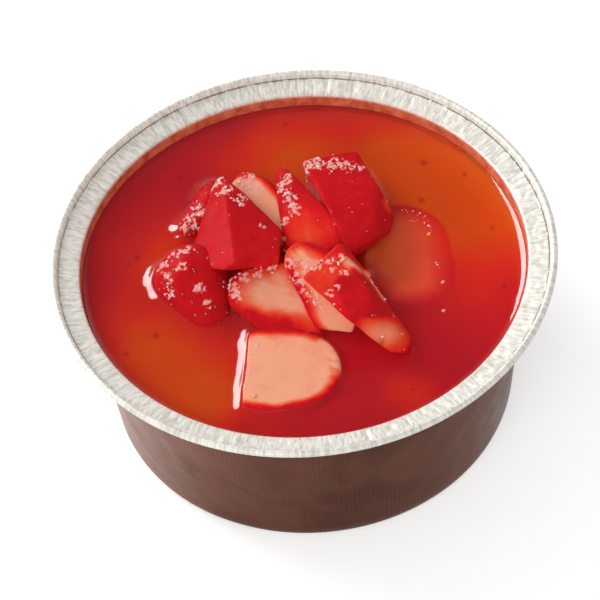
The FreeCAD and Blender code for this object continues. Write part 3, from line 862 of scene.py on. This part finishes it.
def painted_light_at(x, y):
    """How much painted light the jelly has at a place, from 0, painted shade in crimson, to 1,
    painted light in orange.
    """
    near = [(math.hypot(x - a[0], y - a[1]) / a[2], a[3]) for a in PAINTED_LIGHT_POOLS]
    return min(1.0, sum(most * math.exp(-gap ** 2) for gap, most in near))


def bit_at(x, y):
    """How strongly a scrap of pulp shows through the surface at a place."""
    return 0.7 * max(math.exp(-((x - bit[0]) ** 2 + (y - bit[1]) ** 2) / bit[2] ** 2)
                     for bit in BITS)


def rise_at(place, across, heap):
    """How far the jelly stands above its level, by creeping up the foil and the fruit."""
    rise = CREEP * math.exp(-(JELLY_REACH - across) / CREEP_SPREAD)
    gap = heap.find_nearest(place, 6)[3]
    if gap is not None:
        off = (place.x - POOL[0]) ** 2 + (place.y - POOL[1]) ** 2
        pool = 1 + 0.4 * math.exp(-off / 14)
        ragged = 1 + 0.22 * (2 - pool) * unit_noise(place.x / 2.5, place.y / 2.5, 21)
        rise = max(rise, CREEP * pool * ragged * math.exp(-gap / (CREEP_SPREAD * pool)))
    return rise + 0.05 * unit_noise(place.x / 7, place.y / 7, 3)


def pour_jelly():
    bm = bmesh.new()
    top = bm.verts.new((0, 0, JELLY_LEVEL))
    end = run_on(bm, top, (FOIL_NEAR, JELLY_LEVEL), 100)
    end = run_on(bm, end, (JELLY_REACH, JELLY_LEVEL), 17)
    end = run_on(bm, end, JELLY_FOOT, 10)
    end = bend_on(bm, end, JELLY_CORNER, 88, 4)
    run_on(bm, end, (0, JELLY_BASE), 5)
    bmesh.ops.spin(bm, geom=bm.verts[:] + bm.edges[:], cent=(0, 0, 0), axis=(0, 0, 1),
                   angle=2 * math.pi, steps=JELLY_STEPS, use_merge=True)
    bmesh.ops.remove_doubles(bm, verts=bm.verts, dist=0.01)
    bmesh.ops.recalc_face_normals(bm, faces=bm.faces)
    heap = shown_fruit()
    sunk, paleness = whole_heap()
    painted_light = bm.verts.layers.float.new("painted_light")
    flesh_below = bm.verts.layers.float.new("flesh_below")
    bit_below = bm.verts.layers.float.new("bit_below")
    for vert in bm.verts:
        x, y, height = vert.co
        across, angle = math.hypot(x, y), math.atan2(y, x)
        swirl = 2.5 * unit_noise(x / 8, y / 8, 9)
        # Painted light and shade: the jelly's colour is set to lit orange or shaded crimson by its
        # place.
        vert[painted_light] = painted_light_at(x + swirl, y - swirl)
        if height > JELLY_LEVEL - 0.001:
            hit, _, face, depth = sunk.ray_cast(vert.co, (0, 0, -1), 6)
            if hit:
                thin = math.exp(-max(depth - 0.5, 0) / 1.2)
                # Over fruit just under the surface the painted light fades to crimson, and the
                # fruit's own paleness shows.
                vert[painted_light] *= 1 - thin
                vert[flesh_below] = thin * paleness[face] ** 1.4
            vert[bit_below] = bit_at(x, y)
            vert.co.z += rise_at(vert.co, across, heap)
        if across > 20:
            share = min(1, across / JELLY_REACH) ** 8
            vert.co.xy *= 1 + share * wall_dent(angle, vert.co.z) / across
    return bm


def clear_jelly():
    """Red jelly with painted light in orange and painted shade in crimson, over pale flesh and dark
    scraps just below.
    """
    material, nodes, out = new_material("strawberry_jelly")
    place = node(nodes, "TexCoord", "place").outputs["Object"]
    gel = node(nodes, "BsdfPrincipled", "gel", {
        "Roughness": 0.03, "IOR": 1.4, "Specular IOR Level": 0.7, "Transmission Weight": 0.43,
        "Subsurface Weight": 1, "Subsurface Radius": (1.0, 0.12, 0.05),
        "Subsurface Scale": 0.004})
    # Painted light and shade: orange where the jelly is painted lit, crimson where it is painted
    # shaded.
    painted_light = node(nodes, "Attribute", "painted_light", attribute_name="painted_light").outputs["Fac"]
    cloud = noise_node(material, "cloud", place, 60, 3, 0.55)
    cloudy = math_node(material, "cloud tone", "MULTIPLY", cloud, 0.2)
    tone = math_node(material, "tone", "ADD", painted_light, cloudy)
    colour = ramp(material, "crimson to orange", tone, [
        (0.1, (0.64, 0.016, 0.034)), (0.55, (0.90, 0.045, 0.020)), (1.0, (0.99, 0.125, 0.008))])
    below = node(nodes, "Attribute", "flesh below", attribute_name="flesh_below").outputs["Fac"]
    fleshy = mix_colour(material, "over pale flesh", below, colour, (0.98, 0.165, 0.06))
    bit = node(nodes, "Attribute", "bit below", attribute_name="bit_below").outputs["Fac"]
    flecked = mix_colour(material, "over a bit", bit, fleshy, (0.26, 0.006, 0.012))
    link(material, flecked, gel.inputs["Base Color"])
    ripple = noise_node(material, "set surface", place, 260, 2, 0.5)
    link(material, bump(material, "ripples", ripple, 0.0002, 0.25), gel.inputs["Normal"])
    through = node(nodes, "BsdfTransparent", "lamp light")
    path = node(nodes, "LightPath", "path")
    mix = node(nodes, "MixShader", "gel or lamp light")
    link(material, path.outputs["Is Shadow Ray"], mix.inputs[0])
    link(material, gel.outputs[0], mix.inputs[1])
    link(material, through.outputs[0], mix.inputs[2])
    link(material, mix.outputs[0], out.inputs["Surface"])
    depth = node(nodes, "VolumeAbsorption", "depth of jelly", {
        "Color": (0.985, 0.45, 0.15, 1), "Density": 100})
    link(material, depth.outputs[0], out.inputs["Volume"])
    return material


jelly = finish_mesh(pour_jelly(), "poured_jelly")
jelly.data.materials.append(clear_jelly())
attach(jelly, "root")
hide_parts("jelly")


# ================================================================ floor, light and camera
# A plain pale floor in an even, pale room with a dim ceiling.  A broad window, low on the left
# and a little behind, shines in the wet surfaces; soft daylight from there and a weaker fill
# from the front light the pot.  Where foil and lacquer mirror the floor it glows whiter, most
# of all on the left: a painted reflection, seen only in gloss and through the jelly.
scene = bpy.context.scene
scene.view_settings.view_transform = "Standard"

floor_drawing = bmesh.new()
bmesh.ops.create_grid(floor_drawing, x_segments=8, y_segments=8, size=3000)
floor = finish_mesh(floor_drawing, "floor")


def by_way_of_gloss(material, rays):
    """1 for what is seen in foil or gloss, or through jelly."""
    return math_node(material, "in foil or jelly", "MAXIMUM",
                     rays.outputs["Is Glossy Ray"], rays.outputs["Is Transmission Ray"])


paint, paint_nodes, paint_out = new_material("pale_floor")
matt = node(paint_nodes, "BsdfDiffuse", "matt", {"Color": (0.80, 0.80, 0.80, 1)})
glow = node(paint_nodes, "Emission", "white to the eye", {"Color": (1, 1, 1, 1)})
seen = node(paint_nodes, "LightPath", "path")
spot = split_place(paint)[1]
# Painted reflection: the floor glows only for rays mirrored in foil and lacquer or seen through
# jelly, brightest on the left.
leftward = math_node(paint, "part of 100 mm to the left", "MULTIPLY", spot["X"], -10)
painted_glow = ramp(paint, "white card on the left", leftward, [(0.20, 0.0), (0.55, 1.0)])
painted_glow_strength = math_node(paint, "painted_glow", "MULTIPLY", painted_glow, 1.5)
share = math_node(paint, "white in wet walls", "ADD", painted_glow_strength, 0.35)
in_gloss = math_node(paint, "less white", "MULTIPLY", by_way_of_gloss(paint, seen), share)
either = math_node(paint, "seen or mirrored", "MAXIMUM", seen.outputs["Is Camera Ray"], in_gloss)
link(paint, math_node(paint, "whiter", "MULTIPLY", either, 0.50), glow.inputs["Strength"])
both = node(paint_nodes, "AddShader", "floor")
link(paint, matt.outputs[0], both.inputs[0])
link(paint, glow.outputs[0], both.inputs[1])
link(paint, both.outputs[0], paint_out.inputs["Surface"])
floor.data.materials.append(paint)

studio = bpy.data.worlds.new("studio")
scene.world = studio
studio.use_nodes = True
room = studio.node_tree.nodes
room.clear()
even = node(room, "Background", "even light", {"Strength": 0.64})
walls = node(room, "Background", "white walls", {"Strength": 1.0})
height = node(room, "SeparateXYZ", "height")
link(studio, node(room, "TexCoord", "direction").outputs["Generated"], height.inputs[0])
shade = ramp(studio, "dim ceiling", height.outputs["Z"], [(0.30, 1.0), (0.62, 0.12)])
link(studio, shade, walls.inputs["Color"])
ray = node(room, "LightPath", "ray")
either = math_node(studio, "seen or mirrored", "MAXIMUM", ray.outputs["Is Camera Ray"],
                   by_way_of_gloss(studio, ray))
pick = node(room, "MixShader", "light or walls")
link(studio, either, pick.inputs[0])
link(studio, even.outputs[0], pick.inputs[1])
link(studio, walls.outputs[0], pick.inputs[2])
link(studio, pick.outputs[0], node(room, "OutputWorld", "room").inputs["Surface"])


LAMPS_AIM = (0, 0, 0.02)  # the middle of the pot, in metres, as is the rest of the studio
WINDOW = (-0.56, 0.45, 0.45)
FILL = (-0.25, -0.65, 0.55)


def soft_lamp(name, place, size, power):
    lamp = bpy.data.lights.new(name, "AREA")
    lamp.shape = "ELLIPSE"
    lamp.size, lamp.size_y = size
    lamp.energy = power
    stand = bpy.data.objects.new(name, lamp)
    scene.collection.objects.link(stand)
    stand.location = place
    stand.rotation_euler = (Vector(place) - Vector(LAMPS_AIM)).to_track_quat("Z", "Y").to_euler()
    return stand


soft_lamp("window", WINDOW, (0.84, 0.38), 10.5).visible_diffuse = False
soft_lamp("daylight", WINDOW, (0.50, 0.50), 4.2).visible_glossy = False
soft_lamp("fill", FILL, (0.60, 0.60), 2.4)

LENS = 182.84             # focal length, in millimetres
CAMERA_PLACE = (0, -0.33432, 0.41714)
LOOK = Vector((-0.002297, 0.645186, -0.764022))
TILT = Euler((0, 0, math.radians(-5.5)))   # the camera leans a little to one side

camera_data = bpy.data.cameras.new("camera")
camera_data.lens = LENS
camera_data.sensor_width = 36
camera_data.clip_start = 0.01
camera = bpy.data.objects.new("camera", camera_data)
scene.collection.objects.link(camera)
camera.location = CAMERA_PLACE
camera.rotation_mode = "QUATERNION"
camera.rotation_quaternion = LOOK.to_track_quat("-Z", "Y") @ TILT.to_quaternion()
scene.camera = camera
